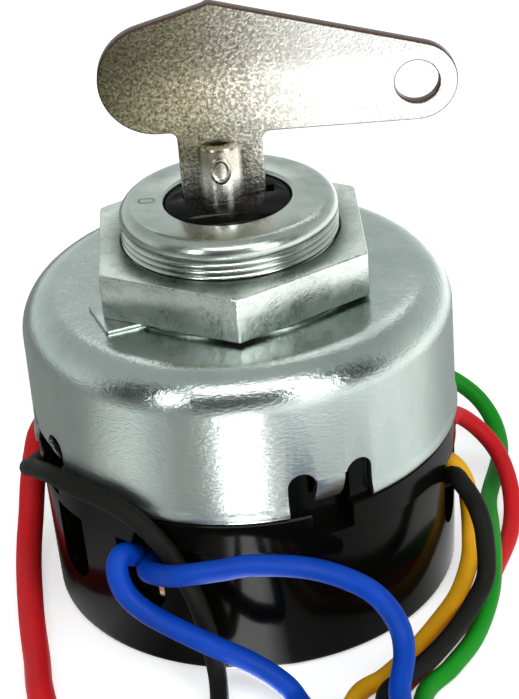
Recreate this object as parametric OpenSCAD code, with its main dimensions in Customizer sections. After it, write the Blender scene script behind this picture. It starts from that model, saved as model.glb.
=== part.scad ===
// Rotary key switch for a panel: crimped steel can on a moulded base, eight flying leads.
// Units are millimetres. Z = 0 is the underside of the base, +Z runs up the neck, and
// azimuths are measured about Z from the front (-Y), positive towards +X.

/* [Can] */
// outer radius of the steel can
can_r = 25; // [22:0.5:30]
// sheet thickness of the can
can_wall = 0.8; // [0.6:0.1:1.2]
// height of the can's lower rim above the base underside
can_rim_z = 20.8; // [18:0.1:26]
// height of the can's top face
can_top_z = 38.6; // [34:0.1:46]
// outer radius of the rounded top edge
can_fillet = 4.5; // [2:0.1:6]
// azimuth of the first crimp tab, the others follow at 90 degrees
crimp_az = 20.4; // [0:0.1:90]
// width of each slot beside a crimp tab
slot_w = 3.3; // [2:0.1:5]
// height of the round end of those slots
slot_top_z = 26.1; // [24:0.1:29]
// angle from a tab's middle to the middle of its slots
slot_pitch = 7.9; // [6:0.1:10]
// how far the end of a tab is pressed in
tab_set = 1.5; // [0.5:0.1:2]

/* [Neck, nut and washer] */
// thread diameter of the neck
thread_d = 25; // [22:0.5:30]
// thread pitch
thread_pitch = 0.75; // [0.5:0.25:1.5]
// depth of the thread groove
thread_depth = 0.42; // [0.3:0.02:0.8]
// height of the neck's top face
neck_top_z = 48.65; // [44:0.05:60]
// radius of the shoulder on the neck
neck_shoulder = 1.6; // [0.5:0.1:2.5]
// bore of the neck
neck_bore_d = 14.62; // [12:0.02:18]
// radius of the neck's flange inside the can
neck_flange_r = 16; // [14:0.5:20]
// nut size across the flats
nut_af = 30; // [28:0.5:36]
// nut thickness
nut_h = 5.4; // [4:0.1:8]
// thickness of the lock washer
washer_t = 0.4; // [0.3:0.1:1]
// width of the washer's lug
washer_lug_w = 8.8; // [4:0.1:10]
// how far the lug's middle stands off its own azimuth
washer_lug_off = 2.4; // [0:0.1:4]
// corner cut from the lug's rear end
washer_lug_cut = 2; // [0:0.1:3]
// reach of the washer's lug from the axis
washer_lug_r = 17.6; // [16:0.1:22]
// azimuth of the washer's lug
washer_lug_az = -72; // [-180:0.5:180]

/* [Key] */
// sheet thickness of the key
key_t = 1.6; // [1.2:0.1:2.5]
// front face of the key sheet ahead of the switch axis
key_face_y = 1; // [0:0.1:2]
// height of the key's tip in the slot
key_tip_z = 38.2; // [37:0.1:44]
// left edge of the key's shank
shank_x0 = -5.05; // [-6:0.05:-3]
// right edge of the key's shank
shank_x1 = 4.5; // [3:0.05:6]
// radius of the half-round rib pressed into the shank
rib_r = 2.6; // [1.5:0.1:3.5]
// middle of that rib
rib_x = -0.45; // [-2:0.05:2]
// top of that rib
rib_top_z = 54.7; // [50:0.1:58]
// diameter of the ring hole in the bow
ring_hole_d = 5; // [3:0.1:7]

/* [Rotor and drive] */
// diameter of the rotor's head in the neck
rotor_d = 14.5; // [11:0.02:18]
// height of the rotor's top face
rotor_top_z = 48.3; // [44:0.05:58]
// radius of the rotor's body under the neck
rotor_body_r = 10.2; // [8:0.1:12]
// underside of the rotor
rotor_z0 = 31.5; // [30:0.1:34]
// clearance of the key in its slot, each side
key_clear = 0.1; // [0.05:0.01:0.2]
// side of the square spindle
spindle_sq = 6; // [4:0.5:8]
// radius of the spindle's lower journal
journal_r = 2; // [1.5:0.1:3]
// radius of the detent balls
ball_r = 1.5; // [1:0.1:2]

/* [Base] */
// how far the flange under the can stands in from the can's wall
flange_inset = 0.1; // [0.05:0.05:1]
// underside of that flange
ledge_z = 16.9; // [14:0.1:19]
// how far the base stands in from the can's wall just under the flange
base_inset_top = 0.25; // [0.15:0.05:1.5]
// how far the base stands in from the can's wall at the bottom
base_inset_bot = 0.7; // [0.4:0.05:3]
// wall thickness of the base at the bottom
base_wall = 2.7; // [2:0.1:4]
// underside of the contact deck
deck_z = 18.5; // [17:0.1:20]
// width of a lead window
window_w = 5.6; // [4:0.1:8]
// extra width of the front window, which two blue leads share
window_extra = 0.3; // [0:0.1:1]
// lowest point of a lead window
window_z0 = 7.2; // [5:0.1:10]
// top of a lead window
window_z1 = 16.5; // [14:0.1:16.8]
// radius on which the contact studs stand
stud_pcr = 15; // [12:0.5:17]

/* [Leads] */
// outside diameter of the heavy red lead
feed_d = 3.2; // [2.5:0.1:4]
// outside diameter of the blue leads
blue_d = 2.5; // [2:0.1:3.5]
// outside diameter of the other leads
lead_d = 2.2; // [1.8:0.1:3]
// length of bare conductor at a lead's far end
strip_len = 6; // [4:0.5:12]

/* [Hidden] */
$fn = 64;
eps = 0.01;
can_in = can_r - can_wall;
thread_r = thread_d / 2;
neck_flange_t = 1.5;
neck_flange_z = can_top_z - can_wall - neck_flange_t;
nut_z = can_top_z + washer_t;
nut_edge = 0.3;
nut_gap = 0.06;
key_body_y = key_face_y + 0.9;
bow_c = [22.15, 60.1];
bow_r = 4.6;
lobe_c = [-6.85, 62.8];
lobe_r = 6.45;
apex = [-0.33, 71.3];
// base
flange_r = can_r - flange_inset;
base_r_top = can_r - base_inset_top;
base_r_bot = can_r - base_inset_bot;
chamber_r = base_r_bot - base_wall;
spigot_r = can_in - 0.1;
spigot_in = spigot_r - 2.6;
spigot_top = can_rim_z + 6.2;
flange_top = can_rim_z - 0.4;
pocket_r = can_in - 2;
deck_top = deck_z + 2.5;
window_az = [-33.3, -60, -104, -130, 72, 104, 130];
lug_t = 0.8;
lug_r0 = stud_pcr - 2.6;
lug_r1 = stud_pcr + 3.5;
link_t = 0.5;
stud_r = 1.5;
cover_z0 = 1.6;
cover_z1 = 3;
cover_r = chamber_r + 0.55;
post_az = [20, 200];
post_pcr = stud_pcr - 2;
post_r = 3;
screw_r = 1.2;
screw_len = 9;
// contact stack
plate_top = deck_top + 2.5;
stud_top = plate_top + 0.5;
bridge_z = plate_top + 1;
carrier_z0 = bridge_z + 0.7;
carrier_hub_r = stud_pcr - 6;
carrier_z1 = carrier_z0 + 2.8;
carrier_r = stud_pcr + 2.2;
rivet_r = 0.8;
rivet_pcr = stud_pcr - 8.7;
spring_r = spindle_sq * 0.875;
// rotor and detent
rotor_web = 5;
rotor_shoulder_z = neck_flange_z - 0.15;
ball_z = rotor_z0 + 2.4;
ball_pos = rotor_body_r - 1.25;
detent_z0 = rotor_z0 - 0.5;
detent_bore = rotor_body_r + 0.35;
seal_z = rotor_top_z - 3.25;
groove_r = rotor_d / 2 - 0.95;
journal_z = deck_z - 2.1;
// leads
brace = 0.3;
feed_core_r = feed_d * 0.28;
blue_core_r = blue_d * 0.28;
lead_core_r = lead_d * 0.28;

// points along each lead's middle line, from its lug to its bare end
red_left_route = [
  [-14.8, 12.4, 12.5], [-18, 15.1, 12.5], [-21, 17.2, 12.7], [-24, 16.3, 12.7],
  [-25.9, 12.4, 12.2], [-26.6, 8.8, 11], [-27.3, 7.4, 8], [-27.8, 5.5, 4.8], [-28.2, 1.8, 2.4],
  [-28.1, -3.6, 1.6], [-27.4, -12.9, 1.6], [-26.5, -20.8, 1.6], [-25.7, -28, 1.6],
  [-22.5, -42, 1.6], [-17, -56, 1.6], [-13.4, -70, 1.6], [-12.5, -83, 1.6], [-12.5, -92, 1.6]];
black_left_route = [
  [-18.7, 4.7, 12.5], [-22.3, 5.6, 12.6], [-25, 5.2, 12.9], [-26.6, 2, 13.7],
  [-26.4, -2.5, 16.4], [-25.4, -7.4, 19.4], [-23, -12.8, 21.8], [-21, -16, 22.5],
  [-19, -18.3, 22.6], [-16.2, -20.8, 22.5], [-13.6, -22.6, 21.4], [-11.9, -23.5, 20],
  [-10.2, -24.2, 17.8], [-8.7, -24.9, 14.8], [-7.3, -25.4, 11.2], [-6.3, -26.3, 6.4],
  [-5.8, -27.5, 2.8], [-5.7, -30.7, 1.5], [-5.9, -38, 1.1], [-7.2, -54, 1.1], [-8.2, -68, 1.1],
  [-8.3, -82, 1.1], [-8.3, -92, 1.1]];
blue_a_route = [
  [-9.9, -16.6, 13.2], [-12, -19.6, 13.3], [-12.4, -23.3, 14.4], [-9.9, -27.3, 16.3],
  [-7.6, -28.9, 17.4], [-4.3, -28.9, 17.6], [-1, -28.8, 17.8], [4.4, -28.3, 16.7],
  [8.7, -27.7, 14.6], [12.5, -27.2, 11.4], [14.7, -29.8, 9], [15, -32.7, 6.9],
  [13.9, -38.1, 5.2], [15.2, -46, 5.2], [18.4, -55, 3.4], [20.4, -64, 1.6], [20.6, -74, 1.2],
  [20.4, -84, 1.2], [20.4, -92, 1.2]];
blue_b_route = [
  [-11.7, -15.3, 14.8], [-13.5, -17.6, 14.9], [-13.9, -21, 15.2], [-15.1, -22.7, 16.6],
  [-15.8, -23.9, 15.4], [-15.1, -25, 12.9], [-12.6, -26.1, 10.5], [-7.3, -28.9, 8.5],
  [-2, -29.1, 5], [1.4, -30.5, 2.9], [2.9, -32.1, 1.6], [3.7, -35.5, 1.4], [2.7, -43, 1.2],
  [-1, -56, 1.2], [-3.7, -70, 1.2], [-4.2, -84, 1.2], [-4.2, -92, 1.2]];
green_route = [
  [14.8, 12.4, 12.5], [18.4, 15.4, 12.5], [21.6, 19.2, 12], [25, 21.9, 10.2], [28, 22.6, 8],
  [30.6, 20.9, 6], [32.1, 17.8, 3.9], [32, 13, 2.3], [29.4, 4.5, 1.7], [28.5, -3.5, 3.3],
  [27.8, -10.8, 3.7], [26.6, -17, 2.4], [24, -22.9, 1.1], [20.6, -28.2, 1.1],
  [16.8, -33.4, 1.1], [16.4, -45, 1.1], [16.4, -58, 1.1], [16.4, -70, 1.1], [16.4, -82, 1.1],
  [16.4, -92, 1.1]];
red_right_route = [
  [18.7, 4.7, 12.5], [22.8, 5.7, 12.4], [25, 7.8, 11.6], [26.5, 10.6, 10.4], [29.3, 11, 7.6],
  [31.3, 8.3, 5.4], [32, 3, 3.2], [31.1, -2.4, 1.2], [28.3, -9.6, 1.1], [25.5, -15.7, 1.1],
  [22.1, -21.2, 1.1], [18.4, -26.4, 1.1], [14.9, -30.7, 1.1], [12.4, -35, 1.1],
  [9.6, -44, 1.1], [8.2, -56, 1.1], [8.1, -70, 1.1], [8.1, -82, 1.1], [8.1, -92, 1.1]];
yellow_route = [
  [18.6, -5.1, 14.6], [21.8, -5.8, 14.9], [23.8, -6.6, 14.4], [25.1, -7, 12.3],
  [25.5, -7.4, 9.4], [25.5, -8.6, 6], [24.9, -11.5, 3.7], [23, -15.4, 1.8], [20.4, -19.2, 1.1],
  [16.6, -24.8, 1.1], [13, -28.9, 1.1], [9.3, -32.3, 1.1], [6, -43, 1.1], [4.2, -56, 1.1],
  [4, -70, 1.1], [4, -82, 1.1], [4, -92, 1.1]];
black_right_route = [
  [18.1, -6.6, 11.6], [21.6, -7.5, 12.6], [23.6, -9.2, 14.4], [24.3, -11.2, 14.5],
  [25.2, -12.9, 13.6], [25.8, -14.9, 12.6], [26.2, -16.2, 10.3], [26, -18.2, 6.2],
  [23.9, -21.6, 4.6], [21, -25.8, 3.8], [18.1, -29.4, 3.6], [15, -32.6, 3.6],
  [12.4, -35.9, 3.6], [12.3, -44, 2.6], [12.3, -52, 1.3], [12.3, -62, 1.1], [12.3, -72, 1.1],
  [12.3, -82, 1.1], [12.3, -92, 1.1]];

// ---------- helpers ----------
module at(az) { rotate([0, 0, az]) children(); }

// block in front of the axis: width, inner and outer radius, heights
module front_block(w, r0, r1, z0, z1) {
  translate([-w / 2, -r1, z0]) cube([w, r1 - r0, z1 - z0]);
}

module ring(r0, r1, z0, z1) {
  difference() {
    translate([0, 0, z0]) cylinder(r = r1, h = z1 - z0);
    translate([0, 0, z0 - 1]) cylinder(r = r0, h = z1 - z0 + 2);
  }
}

module stadium(l, w) {
  square([l - w, w], center = true);
  for (s = [-1, 1]) translate([s * (l - w) / 2, 0]) circle(r = w / 2, $fn = 32);
}

function unit(v) = v / norm(v);

// point t of the way from b to c on a smooth curve through a, b, c, d
function curve_pt(a, b, c, d, t) =
  0.5 * (2 * b + (c - a) * t + (2 * a - 5 * b + 4 * c - d) * t * t
  + (3 * b - a - 3 * c + d) * t * t * t);

function smooth(p, n, r) = let (m = len(p) - 1) [
  for (i = [0:m - 1]) for (j = [0:n - 1])
    let (q = curve_pt(p[max(i - 1, 0)], p[i], p[i + 1], p[min(i + 2, m)], j / n))
      [q[0], q[1], max(q[2], r)],
  [p[m][0], p[m][1], max(p[m][2], r)]];

function headings(p) = let (m = len(p) - 1) [
  for (i = [0:m])
    i == 0 ? unit(p[1] - p[0]) : i == m ? unit(p[m] - p[m - 1]) : unit(p[i + 1] - p[i - 1])];

function carry(h, i, side) = i >= len(h) ? []
  : let (s = unit(side - (side * h[i]) * h[i])) concat([s], carry(h, i + 1, s));

// round tube through the points p, with its end faces square to first and last
module tube(p, r, sides, first, last) {
  m = len(p) - 1;
  h0 = headings(p);
  h = [for (i = [0:m]) i == 0 ? unit(first) : i == m ? unit(last) : h0[i]];
  s = carry(h, 0, cross(h[0], abs(h[0][2]) > 0.9 ? [1, 0, 0] : [0, 0, 1]));
  pts = [for (i = [0:m]) for (k = [0:sides - 1])
    let (a = 360 * k / sides, u = s[i], v = cross(h[i], s[i]))
      p[i] + r * cos(a) * u + r * sin(a) * v];
  quads = [for (i = [0:m - 1]) for (k = [0:sides - 1])
    let (a = i * sides + k, b = i * sides + (k + 1) % sides)
      each [[a, b + sides, b], [a, a + sides, b + sides]]];
  polyhedron(points = pts, faces = concat(quads,
    [[for (k = [0:sides - 1]) k]],
    [[for (k = [sides - 1:-1:0]) m * sides + k]]), convexity = 8);
}

module lead(route, d) {
  n = len(route) - 1;
  p = smooth(route, 2, d / 2);
  tube(p, d / 2, 8, route[1] - route[0], [0, -1, 0]);
}

module coil(r, wire, z0, z1, turns, sides = 8, step = 24) {
  n = round(turns * 360 / step);
  p = [for (i = [0:n]) let (a = i * step) [r * cos(a), r * sin(a), z0 + (z1 - z0) * i / n]];
  tube(p, wire / 2, sides, p[1] - p[0], p[n] - p[n - 1]);
}

// ---------- can ----------
module can_profile(r, top, f) {
  union() {
    square([r, top - f]);
    square([r - f, top]);
    translate([r - f, top - f]) circle(r = f, $fn = 96);
  }
}

module crimp_slots() {
  for (k = [0:3], s = [-1, 1]) at(crimp_az + 90 * k + s * slot_pitch) {
    front_block(slot_w, can_in - 3, can_r + 2, can_rim_z - 1, slot_top_z - slot_w / 2);
    translate([0, -can_in + 3, slot_top_z - slot_w / 2]) rotate([90, 0, 0])
      cylinder(r = slot_w / 2, h = 6, $fn = 48);
  }
}

// the four strips between the slots, cut out so that the bent tabs replace them
module tab_strips(grow) {
  for (k = [0:3]) at(crimp_az + 90 * k)
    front_block(3.7 + grow, can_in - 3, can_r + 2, can_rim_z - 1, slot_top_z - 1.2);
}

module bent_tabs() {
  bend_z = slot_top_z - 1.2;
  low_z = can_rim_z + 0.5;
  for (k = [0:3]) intersection() {
    rotate_extrude($fn = 96) polygon([
      [can_in, bend_z], [can_r, bend_z],
      [can_r - tab_set * 0.35, (bend_z + low_z) / 2 + 0.2], [can_r - tab_set, low_z],
      [can_in - tab_set, low_z], [can_in - tab_set * 0.35, (bend_z + low_z) / 2 + 0.2]]);
    at(crimp_az + 90 * k) front_block(3.5, 15, can_r + 2, can_rim_z - 1, slot_top_z);
  }
}

module housing_can() {
  color([0.72, 0.75, 0.73]) union() {
    difference() {
      rotate_extrude($fn = 96) difference() {
        can_profile(can_r, can_top_z, can_fillet);
        can_profile(can_in, can_top_z - can_wall, can_fillet - can_wall);
        translate([-1, -1]) square([can_r + 2, can_rim_z + 1]);
        square([thread_r + 0.05, can_top_z + 1]);
      }
      crimp_slots();
      tab_strips(0);
    }
    bent_tabs();
  }
}

// ---------- neck, nut, washer ----------
module threaded_neck() {
  low = nut_z - 0.3;
  n = floor((neck_top_z - neck_shoulder - low) / thread_pitch);
  color([0.74, 0.77, 0.75]) difference() {
    rotate_extrude($fn = 96) difference() {
      union() {
        square([thread_r, neck_top_z - neck_shoulder]);
        square([thread_r - neck_shoulder, neck_top_z]);
        translate([thread_r - neck_shoulder, neck_top_z - neck_shoulder])
          circle(r = neck_shoulder, $fn = 64);
        square([neck_flange_r, neck_flange_z + neck_flange_t]);
      }
      translate([-1, -1]) square([neck_flange_r + 9, neck_flange_z + 1]);
      square([neck_bore_d / 2, neck_top_z + 1]);
      for (i = [0:n - 1]) translate([thread_r, low + (i + 0.5) * thread_pitch])
        polygon([[eps, -thread_pitch * 0.42], [eps, thread_pitch * 0.42], [-thread_depth, 0]]);
    }
    // position mark, a plain 0
    translate([-(thread_r + neck_bore_d / 2) * 0.464, 0.45, neck_top_z - 0.12])
      linear_extrude(1) difference() {
        stadium(2, 1.15);
        stadium(1.5, 0.65);
      }
  }
}

module hex_nut() {
  rc = nut_af / 2 / cos(30);
  color([0.6, 0.62, 0.6]) difference() {
    intersection() {
      translate([0, 0, nut_z]) rotate([0, 0, 30]) cylinder(r = rc, h = nut_h, $fn = 6);
      translate([0, 0, nut_z]) cylinder(r1 = rc - nut_edge + nut_h * 1.7, r2 = rc - nut_edge, h = nut_h);
    }
    translate([0, 0, nut_z - 1]) cylinder(r = thread_r + nut_gap, h = nut_h + 2);
    translate([0, 0, nut_z + nut_h - 0.4]) cylinder(r1 = thread_r, r2 = thread_r + 0.6, h = 0.5);
  }
}

// lug in plan: its outer side is square to its azimuth and its rear corner is cut off
module lug_outline() {
  x0 = washer_lug_off - washer_lug_w / 2;
  x1 = washer_lug_off + washer_lug_w / 2;
  polygon([[x0, -thread_r], [x1, -thread_r], [x1, -washer_lug_r],
    [x0 + washer_lug_cut, -washer_lug_r], [x0, -washer_lug_r + washer_lug_cut]]);
}

module tab_washer() {
  color([0.7, 0.72, 0.7]) difference() {
    union() {
      translate([0, 0, can_top_z]) cylinder(r = thread_r + 2.2, h = washer_t);
      at(washer_lug_az) translate([0, 0, can_top_z]) linear_extrude(washer_t) lug_outline();
    }
    translate([0, 0, can_top_z - 1]) cylinder(r = thread_r + nut_gap, h = washer_t + 2);
  }
}

// ---------- key ----------
// where a line from point p touches the circle (c, r), on its upper side
function touch(p, c, r, s) = let (v = p - c, d = norm(v), a = atan2(v[1], v[0]) + s * acos(r / d))
  c + r * [cos(a), sin(a)];

module bow_outline() {
  tl = touch(apex, lobe_c, lobe_r, 1);
  tr = touch(apex, bow_c, bow_r, -1);
  low = lobe_c[1] - lobe_r;
  difference() {
    union() {
      translate(lobe_c) circle(r = lobe_r, $fn = 96);
      translate(bow_c) circle(r = bow_r, $fn = 96);
      polygon([apex, tl, lobe_c, [lobe_c[0], low], [shank_x0 - 0.9, low],
        [shank_x0 - 0.9, low - 0.05], [shank_x0, low - 0.9], [shank_x1, low - 1.2],
        [shank_x1 + 1, low - 0.65], [bow_c[0], bow_c[1] - bow_r], bow_c, tr]);
      translate([shank_x0, key_tip_z + 1]) square([shank_x1 - shank_x0, low - key_tip_z - 1]);
      translate([shank_x0 + 1, key_tip_z]) square([shank_x1 - shank_x0 - 2, 2]);
      for (x = [shank_x0 + 1, shank_x1 - 1]) translate([x, key_tip_z + 1]) circle(r = 1, $fn = 32);
    }
    translate([shank_x1 + 1, low - 1.66]) circle(r = 1, $fn = 32);
    translate([shank_x0 - 0.9, low - 0.9]) circle(r = 0.9, $fn = 32);
  }
}

module key() {
  color([0.78, 0.74, 0.62]) difference() {
    union() {
      translate([0, key_face_y + key_t, 0]) rotate([90, 0, 0]) linear_extrude(key_t)
        difference() {
          bow_outline();
          translate(bow_c) circle(r = ring_hole_d / 2, $fn = 64);
        }
      intersection() {
        translate([rib_x, key_body_y, key_tip_z]) cylinder(r = rib_r, h = rib_top_z - key_tip_z);
        translate([rib_x - 4 * rib_r, key_face_y - 3, key_tip_z - 8])
          cube([8 * rib_r, 3 + key_t, rib_top_z - key_tip_z + 16]);
      }
    }
    // hollow on the back of the pressed rib
    translate([rib_x, key_body_y, key_tip_z - 1])
      cylinder(r = rib_r - 1.1, h = rib_top_z - key_tip_z - 0.1);
  }
}

// ---------- rotor group ----------
module key_slot(z0) {
  translate([shank_x0 - 0.05, key_face_y - key_clear, z0])
    cube([shank_x1 - shank_x0 + 0.95, key_t + 2 * key_clear, rotor_top_z]);
  intersection() {
    translate([rib_x, key_body_y, z0]) cylinder(r = rib_r + 0.12, h = rotor_top_z);
    translate([rib_x - 4 * rib_r, key_face_y - 3, z0]) cube([8 * rib_r, 3 + key_t, rotor_top_z]);
  }
}

module key_rotor() {
  head_r = rotor_d / 2;
  color([0.07, 0.07, 0.07]) difference() {
    union() {
      translate([0, 0, rotor_shoulder_z - 1])
        cylinder(r = head_r, h = rotor_top_z - rotor_shoulder_z + 0.7);
      translate([0, 0, rotor_top_z - 0.3]) cylinder(r1 = head_r, r2 = head_r - 0.3, h = 0.3);
      translate([0, 0, rotor_z0]) cylinder(r = rotor_body_r, h = rotor_shoulder_z - rotor_z0);
    }
    key_slot(key_tip_z - 0.5);
    translate([-spindle_sq / 2, -spindle_sq / 2, rotor_z0 - 1])
      cube([spindle_sq, spindle_sq, 3.55]);
    for (s = [-1, 1]) translate([s * (rotor_web + 0.2), 0, ball_z]) rotate([0, s * 90, 0])
      cylinder(r = ball_r + 0.05, h = rotor_body_r, $fn = 48);
    ring(groove_r, head_r + 2, seal_z - 0.55, seal_z + 0.55);
  }
}

module rotor_seal() {
  seal_r = 0.45;
  color([0.1, 0.1, 0.1]) translate([0, 0, seal_z]) rotate_extrude()
    translate([groove_r + seal_r + 0.02, 0]) circle(r = seal_r, $fn = 24);
}

module drive_spindle() {
  square_z = carrier_z0 - 0.4;
  color([0.6, 0.6, 0.58]) difference() {
    union() {
      translate([-spindle_sq / 2, -spindle_sq / 2, square_z])
        cube([spindle_sq, spindle_sq, rotor_z0 + 2.5 - square_z]);
      translate([0, 0, journal_z]) cylinder(r = journal_r, h = square_z - journal_z + eps);
    }
    ring(journal_r - 0.5, journal_r + 3, journal_z + 0.8, journal_z + 1.4);
  }
}

module spindle_clip() {
  color([0.5, 0.5, 0.5]) difference() {
    ring(journal_r - 0.5, journal_r + 2.2, journal_z + 0.85, journal_z + 1.35);
    front_block(journal_r * 1.2, 0, journal_r + 4, journal_z, journal_z + 2);
  }
}

module thrust_washer() {
  color([0.75, 0.7, 0.5]) ring(journal_r + 0.06, journal_r * 2.2, journal_z + 1.45, deck_z - 0.1);
}

module detent_balls() {
  color([0.7, 0.7, 0.7]) for (s = [-1, 1]) translate([s * ball_pos, 0, ball_z])
    sphere(r = ball_r, $fn = 48);
}

module detent_springs() {
  wire = 0.36;
  start = rotor_web + 0.25 + wire / 2;
  room = ball_pos - ball_r - 0.15 - wire / 2 - start;
  color([0.55, 0.55, 0.55]) for (s = [-1, 1])
    rotate([0, 0, s > 0 ? 0 : 180]) translate([start, 0, ball_z]) rotate([0, 90, 0])
      coil(ball_r - 0.5, wire, 0, room, 3.5, 6, 36);
}

module contact_carrier() {
  square = spindle_sq + 0.12;
  color([0.45, 0.25, 0.15]) difference() {
    union() {
      translate([0, 0, carrier_z0]) cylinder(r = carrier_r, h = 2);
      translate([0, 0, carrier_z0]) cylinder(r = carrier_hub_r, h = carrier_z1 - carrier_z0);
      for (k = [0:2]) at(40 + 120 * k) translate([0, -rivet_pcr, bridge_z])
        cylinder(r = rivet_r, h = 1, $fn = 32);
    }
    translate([-square / 2, -square / 2, bridge_z - 1])
      cube([square, square, carrier_z1 - bridge_z + 2]);
    // seat of the contact spring
    ring(spring_r - 0.65, spring_r + 0.65, carrier_z1 - 0.8, carrier_z1 + 1);
  }
}

module bridge_contact() {
  color([0.8, 0.5, 0.3]) difference() {
    union() {
      translate([0, 0, bridge_z]) cylinder(r = carrier_hub_r - 1, h = carrier_z0 - bridge_z);
      for (a = [10, 160, 268]) at(a) {
        front_block(5, rivet_pcr, stud_pcr + 1.8, bridge_z, carrier_z0);
        translate([0, -stud_pcr, stud_top + 0.05])
          cylinder(r = 1.4, h = bridge_z - stud_top, $fn = 32);
      }
    }
    translate([0, 0, bridge_z - 1]) cylinder(r = spindle_sq * 0.75, h = carrier_z1 - bridge_z);
    for (k = [0:2]) at(40 + 120 * k) translate([0, -rivet_pcr, bridge_z - 1])
      cylinder(r = rivet_r, h = 2, $fn = 32);
  }
}

module contact_spring() {
  wire = 0.8;
  color([0.6, 0.6, 0.6])
    coil(spring_r, wire, carrier_z1 - 0.7 + wire / 2, rotor_z0 - 0.1 - wire / 2, 3);
}

// ---------- fixed inside the can ----------
module detent_housing() {
  color([0.12, 0.12, 0.12]) difference() {
    union() {
      translate([0, 0, spigot_top]) cylinder(r = spigot_r, h = spigot_top - flange_top);
      translate([0, 0, spigot_top]) cylinder(r = spigot_r - 1.6, h = neck_flange_z - spigot_top);
    }
    translate([0, 0, spigot_top - 1]) cylinder(r = spigot_in, h = detent_z0 - spigot_top + 1);
    translate([0, 0, detent_z0 - 1]) cylinder(r = detent_bore, h = neck_flange_z - detent_z0 + 2);
    // detent grooves for the three positions of each ball
    for (a = [0, 45, 90, 180, 225, 270]) rotate([0, 0, -a])
      translate([ball_pos + 0.8, 0, detent_z0 - 1])
        cylinder(r = ball_r, h = neck_flange_z - detent_z0 + 2, $fn = 48);
  }
}

module stud_holes(r) {
  for (a = window_az) at(a) translate([0, -stud_pcr, 0])
    cylinder(r = r, h = plate_top + 1, $fn = 48);
}

module contact_plate() {
  color([0.4, 0.22, 0.12]) difference() {
    translate([0, 0, deck_top]) cylinder(r = spigot_in - 0.05, h = plate_top - deck_top);
    translate([0, 0, deck_top - 1]) cylinder(r = journal_r + 0.06, h = plate_top - deck_top + 2);
    stud_holes(stud_r);
  }
}

module contact_studs() {
  color([0.8, 0.65, 0.3]) for (a = window_az) at(a) translate([0, -stud_pcr, 0]) {
    translate([0, 0, plate_top])
      cylinder(r1 = stud_r + 0.7, r2 = stud_r + 0.2, h = stud_top - plate_top);
    translate([0, 0, deck_z - lug_t])
      cylinder(r = stud_r, h = plate_top - deck_z + lug_t, $fn = 48);
    translate([0, 0, deck_z - lug_t - 0.7]) cylinder(r = stud_r + 0.5, h = 0.7);
  }
}

module terminal_lugs() {
  color([0.8, 0.65, 0.3]) difference() {
    for (a = window_az) at(a) {
      front_block(4.8, lug_r0, lug_r1, deck_z - lug_t, deck_z);
      front_block(4.4, lug_r1 - lug_t, lug_r1, deck_z / 2, deck_z);
    }
    stud_holes(stud_r);
  }
}

module link_bar() {
  // copper link between the two front terminals
  color([0.8, 0.45, 0.3]) intersection() {
    ring(lug_r1, lug_r1 + link_t, window_z1 - 0.3, window_z1 + 0.5);
    at(-46.7) front_block(lug_r1 * 0.57, stud_pcr - 5, lug_r1 + 4, window_z0, window_z1 + 1);
  }
}

// ---------- base ----------
module window_cut(w) {
  low = window_z0 + w / 2;
  inner = stud_pcr + 4;
  front_block(w, inner, can_r + 3, low, window_z1);
  translate([0, -inner, low]) rotate([90, 0, 0]) cylinder(r = w / 2, h = can_r - inner + 3, $fn = 48);
}

module base_moulding() {
  edge = 0.8;
  lip = 0.2;
  color([0.05, 0.05, 0.05]) difference() {
    union() {
      rotate_extrude($fn = 96) union() {
        polygon([[0, 0], [base_r_bot - edge, 0], [base_r_bot, edge], [base_r_top, ledge_z],
          [0, ledge_z]]);
        translate([base_r_bot - edge, edge]) circle(r = edge, $fn = 32);
        polygon([[0, ledge_z - 0.5], [flange_r - lip, ledge_z - 0.5], [flange_r, ledge_z - 0.3],
          [flange_r, flange_top - lip], [flange_r - lip, flange_top], [0, flange_top]]);
      }
      translate([0, 0, flange_top - 1]) cylinder(r = spigot_r, h = spigot_top - flange_top + 1);
    }
    // wiring chamber, contact recess and cover seat
    translate([0, 0, cover_z1]) cylinder(r = chamber_r, h = deck_z - cover_z1);
    translate([0, 0, -1]) cylinder(r = cover_r + 0.05, h = cover_z1 + 1);
    translate([0, 0, deck_top]) cylinder(r = spigot_in, h = 20);
    translate([0, 0, deck_z - 1]) cylinder(r = journal_r + 0.6, h = 20);
    for (a = window_az) at(a) window_cut(window_w + (a == window_az[0] ? window_extra : 0));
    stud_holes(stud_r + 0.2);
    // pockets that the crimp tabs are pressed into
    for (k = [0:3]) at(crimp_az + 90 * k)
      front_block(slot_w + 1.7, pocket_r, can_r + 2, ledge_z + 0.6, spigot_top + 1);
  }
  color([0.05, 0.05, 0.05]) for (a = post_az) at(a) translate([0, -post_pcr, 0]) difference() {
    translate([0, 0, cover_z1]) cylinder(r = post_r, h = deck_z - cover_z1);
    translate([0, 0, cover_z1 - 1]) cylinder(r = screw_r, h = screw_len, $fn = 48);
  }
}

module base_cover() {
  color([0.45, 0.28, 0.15]) difference() {
    translate([0, 0, cover_z0]) cylinder(r = cover_r, h = cover_z1 - cover_z0);
    for (a = post_az) at(a) translate([0, -post_pcr, 0])
      cylinder(r = screw_r + 0.2, h = cover_z1 + 1, $fn = 48);
  }
}

module cover_screws() {
  head_z = cover_z0 - 1.2;
  color([0.7, 0.7, 0.68]) for (a = post_az) at(a) translate([0, -post_pcr, 0]) difference() {
    union() {
      translate([0, 0, head_z]) cylinder(r1 = screw_r + 1, r2 = screw_r + 1.4, h = cover_z0 - head_z);
      translate([0, 0, cover_z0 - eps]) cylinder(r = screw_r, h = screw_len, $fn = 48);
    }
    translate([-0.35, -3, head_z - 1]) cube([0.7, 6, 1.5]);
  }
}

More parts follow.
